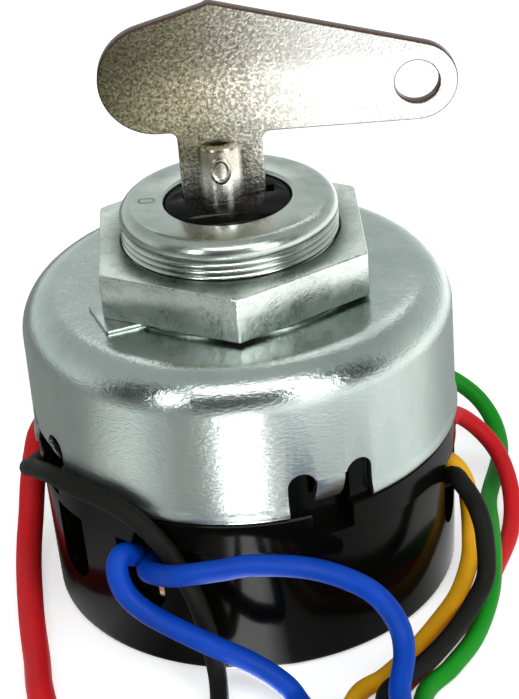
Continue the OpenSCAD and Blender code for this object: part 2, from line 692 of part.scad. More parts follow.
// ---------- leads ----------
// bare conductor from a lug's blade into its lead, where the lead's route starts
module joint(route, r) {
  a = atan2(route[0][0], -route[0][1]);
  at(a) translate([0, -lug_r1, route[0][2]]) rotate([90, 0, 0])
    cylinder(r = r, h = norm([route[0][0], route[0][1]]) - lug_r1 + brace, $fn = 24);
}

module conductor_joints() {
  color([0.8, 0.5, 0.35]) {
    joint(red_left_route, feed_core_r);
    for (route = [blue_a_route, blue_b_route]) joint(route, blue_core_r);
    for (route = [black_left_route, green_route, red_right_route, yellow_route,
      black_right_route]) joint(route, lead_core_r);
  }
}

module strip(route, d, r) {
  e = route[len(route) - 1];
  translate([e[0], e[1] + brace, max(e[2], d / 2)]) rotate([90, 0, 0])
    cylinder(r = r, h = strip_len + brace, $fn = 24);
}

module stripped_ends() {
  color([0.8, 0.6, 0.5]) {
    strip(red_left_route, feed_d, feed_core_r);
    for (route = [blue_a_route, blue_b_route]) strip(route, blue_d, blue_core_r);
    for (route = [black_left_route, green_route, red_right_route, yellow_route,
      black_right_route]) strip(route, lead_d, lead_core_r);
  }
}

module lead_red_left() { color([0.8, 0.1, 0.12]) lead(red_left_route, feed_d); }
module lead_black_left() { color([0.12, 0.12, 0.11]) lead(black_left_route, lead_d); }
module lead_blue_a() { color([0.06, 0.25, 0.8]) lead(blue_a_route, blue_d); }
module lead_blue_b() { color([0.06, 0.25, 0.8]) lead(blue_b_route, blue_d); }
module lead_green() { color([0.08, 0.5, 0.1]) lead(green_route, lead_d); }
module lead_red_right() { color([0.8, 0.1, 0.12]) lead(red_right_route, lead_d); }
module lead_yellow() { color([0.85, 0.6, 0.1]) lead(yellow_route, lead_d); }
module lead_black_right() { color([0.12, 0.12, 0.11]) lead(black_right_route, lead_d); }

housing_can();
threaded_neck();
hex_nut();
tab_washer();
key();
key_rotor();
rotor_seal();
drive_spindle();
spindle_clip();
thrust_washer();
detent_balls();
detent_springs();
contact_carrier();
bridge_contact();
contact_spring();
detent_housing();
contact_plate();
contact_studs();
terminal_lugs();
link_bar();
base_moulding();
base_cover();
cover_screws();
conductor_joints();
stripped_ends();
lead_red_left();
lead_black_left();
lead_blue_a();
lead_blue_b();
lead_green();
lead_red_right();
lead_yellow();
lead_black_right();
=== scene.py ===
import bpy
import math
from mathutils import Matrix, Vector


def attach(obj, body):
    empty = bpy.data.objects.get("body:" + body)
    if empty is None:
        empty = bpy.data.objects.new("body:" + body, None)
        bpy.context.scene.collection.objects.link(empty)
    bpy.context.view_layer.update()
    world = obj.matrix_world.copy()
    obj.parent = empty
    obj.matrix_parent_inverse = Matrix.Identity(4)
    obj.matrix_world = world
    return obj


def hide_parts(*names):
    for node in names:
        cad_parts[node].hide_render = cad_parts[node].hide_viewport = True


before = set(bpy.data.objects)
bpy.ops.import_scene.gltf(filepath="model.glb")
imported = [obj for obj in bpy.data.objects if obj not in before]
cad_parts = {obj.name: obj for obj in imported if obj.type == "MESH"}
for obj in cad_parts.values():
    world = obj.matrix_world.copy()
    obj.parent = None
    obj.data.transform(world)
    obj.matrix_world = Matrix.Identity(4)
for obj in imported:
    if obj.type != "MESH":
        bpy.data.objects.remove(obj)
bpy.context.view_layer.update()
MM = 0.001

# ---------- main sizes, in millimetres ----------
can_r, can_wall, can_rim_z, can_top_z, can_fillet = 25.0, 0.8, 20.8, 38.6, 4.5
crimp_az, slot_pitch, slot_w, slot_top_z, tab_set = 20.4, 7.9, 3.3, 26.1, 1.5
tab_w, tab_gap_w, tab_drop = 3.4, 3.9, 1.2
cut_depth, cut_height = 6, 8
thread_r, thread_pitch, thread_depth = 12.5, 0.75, 0.42
neck_top_z, neck_shoulder, neck_bore_r = 48.65, 1.6, 7.31
flange_r, flange_z0, flange_z1 = 15.9, 36.4, 37.7
rotor_r, rotor_top_z = 7.25, 48.3
rotor_body_r, rotor_body_z0, rotor_body_z1 = 10.2, 31.5, 36.15
seal_groove_r, seal_groove_z0, seal_groove_z1 = 6.3, 44.5, 45.6
nut_af, nut_z, nut_h = 30.0, 39.0, 5.4
washer_t, washer_lug_az, washer_lug_r = 0.4, -72, 17.6
key_front_y, key_t, key_tip_z = 1.0, 1.6, 38.2
shank_x0, shank_x1 = -5.05, 4.5
rib_x, rib_r, rib_wall, rib_top_z, rib_zero_z = -0.45, 2.6, 1.1, 54.7, 52.05
rib_axis_y = key_front_y + 0.9
lobe_c, lobe_r = (-6.85, 62.8), 6.45
bow_c, bow_r, ring_hole_r = (22.15, 60.1), 4.6, 2.5
key_peak = (-0.33, 71.3)
strip_length = 6


# ---------- camera ----------
def make_camera():
    """In front and above, turned by its own right, up and back directions."""
    data = bpy.data.cameras.new("camera")
    data.sensor_fit = "AUTO"
    data.sensor_width = 36.0
    data.lens = 115.51
    camera = bpy.data.objects.new("camera", data)
    bpy.context.scene.collection.objects.link(camera)
    right = Vector((0.99620262, -0.0500433, -0.07124612))
    up = Vector((0.08666032, 0.49111419, 0.86677381))
    back = Vector((-0.00838624, -0.86965656, 0.49358601))
    turn = Matrix((right, up, back)).transposed().to_4x4()
    camera.matrix_world = Matrix.Translation((0.0, -0.229549, 0.158597)) @ turn
    bpy.context.scene.camera = camera


# ---------- materials ----------
def new_material(name):
    """A material with its shader and the piece's own coordinates."""
    material = bpy.data.materials.new(name)
    material.use_nodes = True
    nodes, links = material.node_tree.nodes, material.node_tree.links
    shader = nodes["Principled BSDF"]
    place = nodes.new("ShaderNodeTexCoord")
    return material, nodes, links, shader, place


def noise(nodes, links, place, scale, detail=4.0, stretch=(1, 1, 1), rough=0.55):
    """Cloudy noise on object coordinates, stretched along the axes where stretch is small."""
    spread = nodes.new("ShaderNodeMapping")
    spread.inputs["Scale"].default_value = stretch
    links.new(place.outputs["Object"], spread.inputs["Vector"])
    texture = nodes.new("ShaderNodeTexNoise")
    texture.inputs["Scale"].default_value = scale
    texture.inputs["Detail"].default_value = detail
    texture.inputs["Roughness"].default_value = rough
    links.new(spread.outputs["Vector"], texture.inputs["Vector"])
    return texture.outputs["Fac"]


def ramp(nodes, links, value, stops):
    """Colours along a value: stops is a list of (place, colour)."""
    band = nodes.new("ShaderNodeValToRGB")
    while len(band.color_ramp.elements) < len(stops):
        band.color_ramp.elements.new(0.5)
    for element, (position, colour) in zip(band.color_ramp.elements, stops):
        element.position = position
        element.color = (*colour, 1.0)
    links.new(value, band.inputs["Fac"])
    return band.outputs["Color"]


def spread_to(nodes, links, value, low, high, start=0.3, end=0.7):
    """A value from low to high as the input goes from start to end."""
    fit = nodes.new("ShaderNodeMapRange")
    fit.inputs["From Min"].default_value = start
    fit.inputs["From Max"].default_value = end
    fit.inputs["To Min"].default_value = low
    fit.inputs["To Max"].default_value = high
    links.new(value, fit.inputs["Value"])
    return fit.outputs["Result"]


def add_bump(nodes, links, shader, heights):
    """Stack bumps: heights is a list of (value, strength, distance in metres)."""
    last = None
    for value, strength, distance in heights:
        bump = nodes.new("ShaderNodeBump")
        bump.inputs["Strength"].default_value = strength
        bump.inputs["Distance"].default_value = distance
        links.new(value, bump.inputs["Height"])
        if last:
            links.new(last.outputs["Normal"], bump.inputs["Normal"])
        last = bump
    links.new(last.outputs["Normal"], shader.inputs["Normal"])


def zinc_can():
    """Zinc plate on deep-drawn sheet: bright, cool, almost a mirror on top, rippled round the side."""
    material, nodes, links, shader, place = new_material("zinc_can")
    cloud = noise(nodes, links, place, 90, 5, (1, 1, 0.45), 0.6)
    colour = ramp(nodes, links, cloud, [(0.30, (0.36, 0.42, 0.405)), (0.5, (0.425, 0.485, 0.465)),
                                        (0.68, (0.49, 0.545, 0.52))])
    links.new(colour, shader.inputs["Base Color"])
    shader.inputs["Metallic"].default_value = 1.0
    shader.inputs["Anisotropic"].default_value = 0.6
    shader.inputs["Anisotropic Rotation"].default_value = 0.25
    around = nodes.new("ShaderNodeTangent")
    around.direction_type = "RADIAL"
    around.axis = "Z"
    links.new(around.outputs["Tangent"], shader.inputs["Tangent"])
    sides = nodes.new("ShaderNodeSeparateXYZ")
    links.new(place.outputs["Object"], sides.inputs["Vector"])
    links.new(spread_to(nodes, links, sides.outputs["Z"], 0.30, 0.17, 0.0335, 0.0383),
              shader.inputs["Roughness"])
    ripple = noise(nodes, links, place, 3400, 3, (0.42, 0.42, 1), 0.6)
    dents = noise(nodes, links, place, 160, 3)
    add_bump(nodes, links, shader, [(ripple, 0.5, 0.0001), (dents, 0.14, 0.0002)])
    return material


def zinc_neck():
    """Turned zinc plate: fine rings about the axis, satin."""
    material, nodes, links, shader, place = new_material("zinc_neck")
    cloud = noise(nodes, links, place, 300, 5)
    colour = ramp(nodes, links, cloud, [(0.3, (0.36, 0.40, 0.375)), (0.7, (0.47, 0.51, 0.475))])
    links.new(colour, shader.inputs["Base Color"])
    shader.inputs["Metallic"].default_value = 1.0
    links.new(spread_to(nodes, links, cloud, 0.18, 0.30), shader.inputs["Roughness"])
    rings = noise(nodes, links, place, 1400, 2, (0.1, 0.1, 1), 0.4)
    nicks = noise(nodes, links, place, 900, 4)
    add_bump(nodes, links, shader, [(rings, 0.12, 0.00008), (nicks, 0.14, 0.0001)])
    return material


def zinc_nut():
    """Cast and plated nut: dull, finely mottled and pitted, with painted shade on its top face towards
    the thread in place of the neck's dark reflection.
    """
    material, nodes, links, shader, place = new_material("zinc_nut")
    cloud = noise(nodes, links, place, 420, 6, (1, 1, 1), 0.7)
    colour = ramp(nodes, links, cloud, [(0.30, (0.46, 0.51, 0.475)), (0.5, (0.60, 0.655, 0.61)),
                                        (0.68, (0.70, 0.75, 0.70))])
    pits = noise(nodes, links, place, 3400, 3)
    dark = ramp(nodes, links, pits, [(0.30, (0.45, 0.45, 0.45)), (0.40, (1.0, 1.0, 1.0))])
    flat = nodes.new("ShaderNodeMapping")
    flat.inputs["Scale"].default_value = (1, 1, 0)
    links.new(place.outputs["Object"], flat.inputs["Vector"])
    out_from_axis = nodes.new("ShaderNodeVectorMath")
    out_from_axis.operation = "LENGTH"
    links.new(flat.outputs["Vector"], out_from_axis.inputs[0])
    # painted shade: the colour darkens towards the thread, standing in for the neck's dark reflection
    # on the top face
    clear_of_thread = spread_to(nodes, links, out_from_axis.outputs["Value"], 0, 1, 0.0126, 0.0155)
    painted_neck_shade = ramp(nodes, links, clear_of_thread, [(0.0, (0.22, 0.24, 0.225)), (1.0, (1, 1, 1))])
    pitted = darken(nodes, links, colour, dark, 0.6)
    links.new(darken(nodes, links, pitted, painted_neck_shade, 0.9), shader.inputs["Base Color"])
    shader.inputs["Metallic"].default_value = 1.0
    links.new(spread_to(nodes, links, cloud, 0.22, 0.36), shader.inputs["Roughness"])
    add_bump(nodes, links, shader, [(cloud, 0.3, 0.0002), (pits, 0.3, 0.0001)])
    return material


def darken(nodes, links, colour, by, amount):
    """One colour multiplied by another, by a set or a varying amount."""
    mix = nodes.new("ShaderNodeMix")
    mix.data_type = "RGBA"
    mix.blend_type = "MULTIPLY"
    if isinstance(amount, float):
        mix.inputs["Factor"].default_value = amount
    else:
        links.new(amount, mix.inputs["Factor"])
    links.new(colour, mix.inputs["A"])
    links.new(by, mix.inputs["B"])
    return mix.outputs["Result"]


def bright_washer():
    """Thin spring steel, bright plated."""
    material, nodes, links, shader, place = new_material("bright_washer")
    cloud = noise(nodes, links, place, 400, 4)
    colour = ramp(nodes, links, cloud, [(0.3, (0.36, 0.41, 0.39)), (0.7, (0.50, 0.55, 0.52))])
    links.new(colour, shader.inputs["Base Color"])
    shader.inputs["Metallic"].default_value = 1.0
    shader.inputs["Roughness"].default_value = 0.27
    add_bump(nodes, links, shader, [(cloud, 0.15, 0.0002)])
    return material


def nickel_key(grained=True):
    """Nickel plate: sandy grain that sparkles, dark edges, and painted light: painted shade at the
    lobe end, a painted highlight towards the ring hole and low on the shank.
    """
    material, nodes, links, shader, place = new_material("nickel_key" if grained else "nickel_rib")
    sides = nodes.new("ShaderNodeSeparateXYZ")
    links.new(place.outputs["Object"], sides.inputs["Vector"])
    along = spread_to(nodes, links, sides.outputs["X"], 0.0, 1.0, -0.013, 0.012)
    shank = spread_to(nodes, links, sides.outputs["Z"], 0.86, 0.0, 0.0505, 0.0555)
    most = nodes.new("ShaderNodeMath")
    most.operation = "MAXIMUM"
    links.new(along, most.inputs[0])
    links.new(shank, most.inputs[1])
    painted_light_along = most.outputs[0]
    # painted light: dark olive painted shade at the lobe end rising to a near-white painted highlight
    # towards the ring hole and low on the shank
    tone = ramp(nodes, links, painted_light_along, [(0.0, (0.15, 0.14, 0.085)), (0.4, (0.38, 0.355, 0.25)),
                                     (0.75, (0.84, 0.82, 0.75)), (1.0, (0.90, 0.885, 0.86))])
    grain = noise(nodes, links, place, 2600, 3, (1, 0.3, 1), 0.8)
    dark = ramp(nodes, links, grain, [(0.36, (0.24, 0.23, 0.20)), (0.51, (0.66, 0.65, 0.62)),
                                      (0.60, (1.0, 1.0, 1.0))])
    speckle = spread_to(nodes, links, sides.outputs["X"], 0.95, 0.2, 0.003, 0.012)
    face = darken(nodes, links, tone, dark, speckle if grained else 0.15)
    facing = nodes.new("ShaderNodeSeparateXYZ")
    links.new(place.outputs["Normal"], facing.inputs["Vector"])
    size = nodes.new("ShaderNodeMath")
    size.operation = "ABSOLUTE"
    links.new(facing.outputs["Y"], size.inputs[0])
    turned_away = spread_to(nodes, links, size.outputs[0], 1.0, 0.0, 0.86, 0.985)
    height = spread_to(nodes, links, sides.outputs["Z"], 0.0, 1.0, 0.0545, 0.056)
    mix = nodes.new("ShaderNodeMix")
    mix.data_type = "RGBA"
    links.new(times(nodes, links, turned_away, height), mix.inputs["Factor"])
    links.new(face, mix.inputs["A"])
    mix.inputs["B"].default_value = (0.085, 0.045, 0.03, 1)
    links.new(mix.outputs["Result"], shader.inputs["Base Color"])
    shader.inputs["Metallic"].default_value = 1.0
    links.new(spread_to(nodes, links, grain, 0.32, 0.2), shader.inputs["Roughness"])
    soft = noise(nodes, links, place, 350, 3)
    add_bump(nodes, links, shader, [(grain, 0.6 if grained else 0.08, 0.00012), (soft, 0.12, 0.0003)])
    return material


def plastic(name, colour, rough=0.2, grain=900, strength=0.05, worn=None, sheen_level=0.5):
    """Moulded plastic: even colour, fine orange peel and faint rubbed patches."""
    material, nodes, links, shader, place = new_material(name)
    cloud = noise(nodes, links, place, 180, 5, (1, 1, 1), 0.6)
    worn = worn or tuple(min(1.0, c * 1.35 + 0.004) for c in colour)
    links.new(ramp(nodes, links, cloud, [(0.42, colour), (0.75, worn)]), shader.inputs["Base Color"])
    links.new(spread_to(nodes, links, cloud, rough * 0.8, rough * 1.3), shader.inputs["Roughness"])
    shader.inputs["Specular IOR Level"].default_value = sheen_level
    peel = noise(nodes, links, place, grain, 2)
    add_bump(nodes, links, shader, [(peel, strength, 0.0001)])
    return material


def scratched_black():
    """Gloss black moulding with fine pale scratches round its face."""
    material, nodes, links, shader, place = new_material("scratched_black")
    lines = noise(nodes, links, place, 900, 2, (0.12, 1, 1), 0.4)
    colour = ramp(nodes, links, lines, [(0.66, (0.003, 0.003, 0.003)), (0.71, (0.08, 0.08, 0.07))])
    links.new(colour, shader.inputs["Base Color"])
    links.new(spread_to(nodes, links, lines, 0.10, 0.3, 0.5, 0.7), shader.inputs["Roughness"])
    shader.inputs["Specular IOR Level"].default_value = 0.03
    add_bump(nodes, links, shader, [(lines, 0.12, 0.0001)])
    return material


def insulation(name, colour, rough, strength=0.08, sheen_level=0.18):
    """Drawn vinyl insulation: soft sheen and a faint waviness."""
    material, nodes, links, shader, place = new_material(name)
    cloud = noise(nodes, links, place, 140, 4)
    dull = tuple(c * 0.82 for c in colour)
    links.new(ramp(nodes, links, cloud, [(0.35, dull), (0.65, colour)]), shader.inputs["Base Color"])
    links.new(spread_to(nodes, links, cloud, rough * 0.85, rough * 1.2), shader.inputs["Roughness"])
    shader.inputs["Specular IOR Level"].default_value = sheen_level
    wave = noise(nodes, links, place, 500, 2)
    add_bump(nodes, links, shader, [(wave, strength, 0.0002)])
    return material


def plain_metal(name, dark, light, rough):
    """Bare metal between two tones."""
    material, nodes, links, shader, place = new_material(name)
    cloud = noise(nodes, links, place, 500, 4)
    links.new(ramp(nodes, links, cloud, [(0.35, dark), (0.65, light)]), shader.inputs["Base Color"])
    shader.inputs["Metallic"].default_value = 1.0
    shader.inputs["Roughness"].default_value = rough
    add_bump(nodes, links, shader, [(cloud, 0.1, 0.0001)])
    return material


# ---------- leads ----------
red_left_route = [
    (-14.8, 12.4, 12.5), (-18, 15.1, 12.5), (-21, 17.2, 12.7), (-24, 16.3, 12.7),
    (-25.9, 12.4, 12.2), (-26.6, 8.8, 11), (-27.3, 7.4, 8), (-27.8, 5.5, 4.8), (-28.2, 1.8, 2.4),
    (-28.1, -3.6, 1.6), (-27.4, -12.9, 1.6), (-26.5, -20.8, 1.6), (-25.7, -28, 1.6),
    (-22.5, -42, 1.6), (-17, -56, 1.6), (-13.4, -70, 1.6), (-12.5, -83, 1.6), (-12.5, -92, 1.6)]
black_left_route = [
    (-18.7, 4.7, 12.5), (-22.3, 5.6, 12.6), (-25, 5.2, 12.9), (-26.6, 2, 13.7),
    (-26.4, -2.5, 16.4), (-25.4, -7.4, 19.4), (-23, -12.8, 21.8), (-21, -16, 22.5),
    (-19, -18.3, 22.6), (-16.2, -20.8, 22.5), (-13.6, -22.6, 21.4), (-11.9, -23.5, 20),
    (-10.2, -24.2, 17.8), (-8.7, -24.9, 14.8), (-7.3, -25.4, 11.2), (-6.3, -26.3, 6.4),
    (-5.8, -27.5, 2.8), (-5.7, -30.7, 1.5), (-5.9, -38, 1.1), (-7.2, -54, 1.1), (-8.2, -68, 1.1),
    (-8.3, -82, 1.1), (-8.3, -92, 1.1)]
blue_a_route = [
    (-9.9, -16.6, 13.2), (-12, -19.6, 13.3), (-12.4, -23.3, 14.4), (-9.9, -27.3, 16.3),
    (-7.6, -28.9, 17.4), (-4.3, -28.9, 17.6), (-1, -28.8, 17.8), (4.4, -28.3, 16.7),
    (8.7, -27.7, 14.6), (12.5, -27.2, 11.4), (14.7, -29.8, 9), (15, -32.7, 6.9),
    (13.9, -38.1, 5.2), (15.2, -46, 5.2), (18.4, -55, 3.4), (20.4, -64, 1.6), (20.6, -74, 1.2),
    (20.4, -84, 1.2), (20.4, -92, 1.2)]
blue_b_route = [
    (-11.7, -15.3, 14.8), (-13.5, -17.6, 14.9), (-13.9, -21, 15.2), (-15.1, -22.7, 16.6),
    (-15.8, -23.9, 15.4), (-15.1, -25, 12.9), (-12.6, -26.1, 10.5), (-7.3, -28.9, 8.5),
    (-2, -29.1, 5), (1.4, -30.5, 2.9), (2.9, -32.1, 1.6), (3.7, -35.5, 1.4), (2.7, -43, 1.2),
    (-1, -56, 1.2), (-3.7, -70, 1.2), (-4.2, -84, 1.2), (-4.2, -92, 1.2)]
green_route = [
    (14.8, 12.4, 12.5), (18.4, 15.4, 12.5), (21.6, 19.2, 12), (25, 21.9, 10.2), (28, 22.6, 8),
    (30.6, 20.9, 6), (32.1, 17.8, 3.9), (32, 13, 2.3), (29.4, 4.5, 1.7), (28.5, -3.5, 3.3),
    (27.8, -10.8, 3.7), (26.6, -17, 2.4), (24, -22.9, 1.1), (20.6, -28.2, 1.1),
    (16.8, -33.4, 1.1), (16.4, -45, 1.1), (16.4, -58, 1.1), (16.4, -70, 1.1), (16.4, -82, 1.1),
    (16.4, -92, 1.1)]
red_right_route = [
    (18.7, 4.7, 12.5), (22.8, 5.7, 12.4), (25, 7.8, 11.6), (26.5, 10.6, 10.4), (29.3, 11, 7.6),
    (31.3, 8.3, 5.4), (32, 3, 3.2), (31.1, -2.4, 1.2), (28.3, -9.6, 1.1), (25.5, -15.7, 1.1),
    (22.1, -21.2, 1.1), (18.4, -26.4, 1.1), (14.9, -30.7, 1.1), (12.4, -35, 1.1),
    (9.6, -44, 1.1), (8.2, -56, 1.1), (8.1, -70, 1.1), (8.1, -82, 1.1), (8.1, -92, 1.1)]
yellow_route = [
    (18.6, -5.1, 14.6), (21.8, -5.8, 14.9), (23.8, -6.6, 14.4), (25.1, -7, 12.3),
    (25.5, -7.4, 9.4), (25.5, -8.6, 6), (24.9, -11.5, 3.7), (23, -15.4, 1.8), (20.4, -19.2, 1.1),
    (16.6, -24.8, 1.1), (13, -28.9, 1.1), (9.3, -32.3, 1.1), (6, -43, 1.1), (4.2, -56, 1.1),
    (4, -70, 1.1), (4, -82, 1.1), (4, -92, 1.1)]
black_right_route = [
    (18.1, -6.6, 11.6), (21.6, -7.5, 12.6), (23.6, -9.2, 14.4), (24.3, -11.2, 14.5),
    (25.2, -12.9, 13.6), (25.8, -14.9, 12.6), (26.2, -16.2, 10.3), (26, -18.2, 6.2),
    (23.9, -21.6, 4.6), (21, -25.8, 3.8), (18.1, -29.4, 3.6), (15, -32.6, 3.6),
    (12.4, -35.9, 3.6), (12.3, -44, 2.6), (12.3, -52, 1.3), (12.3, -62, 1.1), (12.3, -72, 1.1),
    (12.3, -82, 1.1), (12.3, -92, 1.1)]

# name, route, outside diameter, material slot
leads = [
    ("red_left", red_left_route, 3.2, "red"),
    ("black_left", black_left_route, 2.2, "black"),
    ("blue_a", blue_a_route, 2.5, "blue"),
    ("blue_b", blue_b_route, 2.5, "blue"),
    ("green", green_route, 2.2, "green"),
    ("red_right", red_right_route, 2.2, "red"),
    ("yellow", yellow_route, 2.2, "yellow"),
    ("black_right", black_right_route, 2.2, "black")]


def curve_length(curve):
    """Length of a bezier spline, from short straight steps."""
    total = 0.0
    points = curve.splines[0].bezier_points
    for a, b in zip(points, points[1:]):
        last = a.co
        for step in range(1, 13):
            t = step / 12
            q = (a.co * (1 - t) ** 3 + a.handle_right * 3 * t * (1 - t) ** 2
                 + b.handle_left * 3 * t * t * (1 - t) + b.co * t ** 3)
            total += (q - last).length
            last = q
    return total


def make_lead(name, route, width, material):
    """One insulated lead: a smooth round cord along its route."""
    curve = bpy.data.curves.new("cord_" + name, "CURVE")
    curve.dimensions = "3D"
    curve.resolution_u = 8
    curve.bevel_depth = width / 2 * MM
    curve.bevel_resolution = 5
    curve.use_fill_caps = True
    spline = curve.splines.new("BEZIER")
    spline.bezier_points.add(len(route) - 1)
    points = [Vector(p) * MM for p in route]
    last = len(points) - 1
    for i, point in enumerate(spline.bezier_points):
        reach = (points[min(i + 1, last)] - points[max(i - 1, 0)]) / 6
        point.co = points[i]
        point.handle_left = points[i] - reach
        point.handle_right = points[i] + reach
    lead = bpy.data.objects.new("cord_" + name, curve)
    bpy.context.scene.collection.objects.link(lead)
    curve.materials.append(material)
    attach(lead, "housing")
    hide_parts("lead_" + name)
    return lead, curve_length(curve)


# ---------- modelling helpers ----------
def clear():
    """Leave edit mode with nothing selected."""
    if bpy.context.object and bpy.context.object.mode != "OBJECT":
        bpy.ops.object.mode_set(mode="OBJECT")
    bpy.ops.object.select_all(action="DESELECT")


def pick(piece):
    clear()
    piece.select_set(True)
    bpy.context.view_layer.objects.active = piece


def settle(piece):
    """Put the piece's place into its mesh."""
    pick(piece)
    bpy.ops.object.transform_apply(location=True, rotation=True, scale=True)


def turned(name, rings, sides=128, solid=False):
    """A turned piece, its rings given as (radius, height) in order round its outline."""
    clear()
    r0, z0 = rings[0]
    bpy.ops.mesh.primitive_circle_add(vertices=sides, radius=r0 * MM, location=(0, 0, z0 * MM),
                                      fill_type="NGON" if solid else "NOTHING")
    piece = bpy.context.object
    piece.name = name
    settle(piece)
    bpy.ops.object.mode_set(mode="EDIT")
    bpy.ops.mesh.select_all(action="SELECT")
    for (ra, za), (rb, zb) in zip(rings, rings[1:]):
        bpy.ops.mesh.extrude_region_move(
            TRANSFORM_OT_translate={"value": (0, 0, (zb - za) * MM)})
        bpy.ops.transform.resize(value=(rb / ra, rb / ra, 1), center_override=(0, 0, zb * MM))
    bpy.ops.mesh.select_all(action="SELECT")
    bpy.ops.mesh.remove_doubles(threshold=0.000001)
    bpy.ops.mesh.normals_make_consistent(inside=False)
    bpy.ops.object.mode_set(mode="OBJECT")
    return piece


def block(name, width, depth, height, centre):
    clear()
    bpy.ops.mesh.primitive_cube_add(size=1, location=tuple(c * MM for c in centre))
    piece = bpy.context.object
    piece.name = name
    piece.scale = (width * MM, depth * MM, height * MM)
    settle(piece)
    return piece


def rod(name, radius, length, centre, along="Z", sides=48):
    clear()
    turn = {"Z": (0, 0, 0), "Y": (math.pi / 2, 0, 0)}[along]
    bpy.ops.mesh.primitive_cylinder_add(vertices=sides, radius=radius * MM, depth=length * MM,
                                        location=tuple(c * MM for c in centre), rotation=turn)
    piece = bpy.context.object
    piece.name = name
    settle(piece)
    return piece


def swing(piece, degrees):
    """Turn a piece about the switch's axis, counted from the front towards +X."""
    piece.rotation_euler = (0, 0, math.radians(degrees))
    settle(piece)
    return piece


def combine(piece, tool, operation="DIFFERENCE"):
    """Cut, join or keep the common part of a piece and a tool, which is used up."""
    pick(piece)
    change = piece.modifiers.new("combine", "BOOLEAN")
    change.operation = operation
    change.solver = "EXACT"
    change.object = tool
    bpy.ops.object.modifier_apply(modifier=change.name)
    bpy.data.objects.remove(tool, do_unlink=True)
    return piece


def soften(piece, width, segments=3, angle=35):
    """Round every edge sharper than angle."""
    pick(piece)
    change = piece.modifiers.new("soften", "BEVEL")
    change.width = width * MM
    change.segments = segments
    change.limit_method = "ANGLE"
    change.angle_limit = math.radians(angle)
    bpy.ops.object.modifier_apply(modifier=change.name)
    return piece


def join(pieces):
    clear()
    for piece in pieces:
        piece.select_set(True)
    bpy.context.view_layer.objects.active = pieces[0]
    bpy.ops.object.join()
    return pieces[0]


def finish_piece(piece, name, material, body, stands_for=(), angle=30):
    """Name and shade a piece, and tell its material slot, its body and the nodes it stands for."""
    pick(piece)
    bpy.ops.object.shade_smooth_by_angle(angle=math.radians(angle))
    piece.name = name
    piece.data.materials.clear()
    piece.data.materials.append(material)
    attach(piece, body)
    if stands_for:
        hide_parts(*stands_for)
    clear()
    return piece


def arc(centre, radius, start, end, steps):
    """Points along an arc, angles in degrees."""
    return [(centre[0] + radius * math.cos(math.radians(start + (end - start) * i / steps)),
             centre[1] + radius * math.sin(math.radians(start + (end - start) * i / steps)))
            for i in range(steps + 1)]


def flat_plate(name, outline, holes, thickness, edge):
    """A plate in X and Y from an outline and holes, with rounded edges, its middle at z = 0."""
    clear()
    curve = bpy.data.curves.new(name, "CURVE")
    curve.dimensions = "2D"
    curve.fill_mode = "BOTH"
    curve.extrude = (thickness / 2 - edge) * MM
    curve.bevel_depth = edge * MM
    curve.bevel_resolution = 2
    curve.offset = -edge * MM
    for points in [outline] + holes:
        spline = curve.splines.new("POLY")
        spline.points.add(len(points) - 1)
        for point, (x, y) in zip(spline.points, points):
            point.co = (x * MM, y * MM, 0, 1)
        spline.use_cyclic_u = True
    plate = bpy.data.objects.new(name, curve)
    bpy.context.scene.collection.objects.link(plate)
    pick(plate)
    bpy.ops.object.convert(target="MESH")
    plate = bpy.context.object
    bpy.ops.object.mode_set(mode="EDIT")
    bpy.ops.mesh.select_all(action="SELECT")
    bpy.ops.mesh.remove_doubles(threshold=0.000001)
    bpy.ops.mesh.normals_make_consistent(inside=False)
    bpy.ops.object.mode_set(mode="OBJECT")
    return plate


def dress(node, material):
    """Give a CAD node's own object a material."""
    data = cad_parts[node].data
    data.materials.clear()
    data.materials.append(material)


# ---------- can ----------
def make_can(material):
    """Drawn shell with a beaded rim, four crimps, and a slot at each side of every crimp."""
    bead = 0.22
    bend = (can_r - can_fillet, can_top_z - can_fillet)
    outside = [(can_r, can_rim_z + 1.6)] + arc(bend, can_fillet, 0, 90, 16)
    inside = arc(bend, can_fillet - can_wall, 90, 0, 12)
    inside += [(can_r - can_wall, can_rim_z)]
    rim = [(can_r + bead * 0.6, can_rim_z), (can_r + bead, can_rim_z + 0.25),
           (can_r + bead, can_rim_z + 0.7), (can_r + bead * 0.35, can_rim_z + 1.2)]
    rings = rim + outside + [(thread_r + 0.05, can_top_z), (thread_r + 0.05, can_top_z - can_wall)]
    rings += inside + [rim[0]]
    can = turned("can", rings, 192)
    for k in range(4):
        for side in (-1, 1):
            round_z = slot_top_z - slot_w / 2
            slot = block("slot", slot_w, cut_depth, cut_height, (0, -can_r, round_z - cut_height / 2))
            top = rod("slot_top", slot_w / 2, cut_depth, (0, -can_r, round_z), "Y")
            combine(slot, top, "UNION")
            swing(slot, crimp_az + 90 * k + side * slot_pitch)
            combine(can, slot)
        strip = block("strip", tab_gap_w, cut_depth, cut_height,
                      (0, -can_r, slot_top_z - tab_drop - cut_height / 2))
        swing(strip, crimp_az + 90 * k)
        combine(can, strip)
    soften(can, 0.16, 3, 40)
    tabs = [make_crimp_tab(crimp_az + 90 * k) for k in range(4)]
    can = join([can] + tabs)
    return finish_piece(can, "can_shell", material, "housing", ["housing_can"], 35)


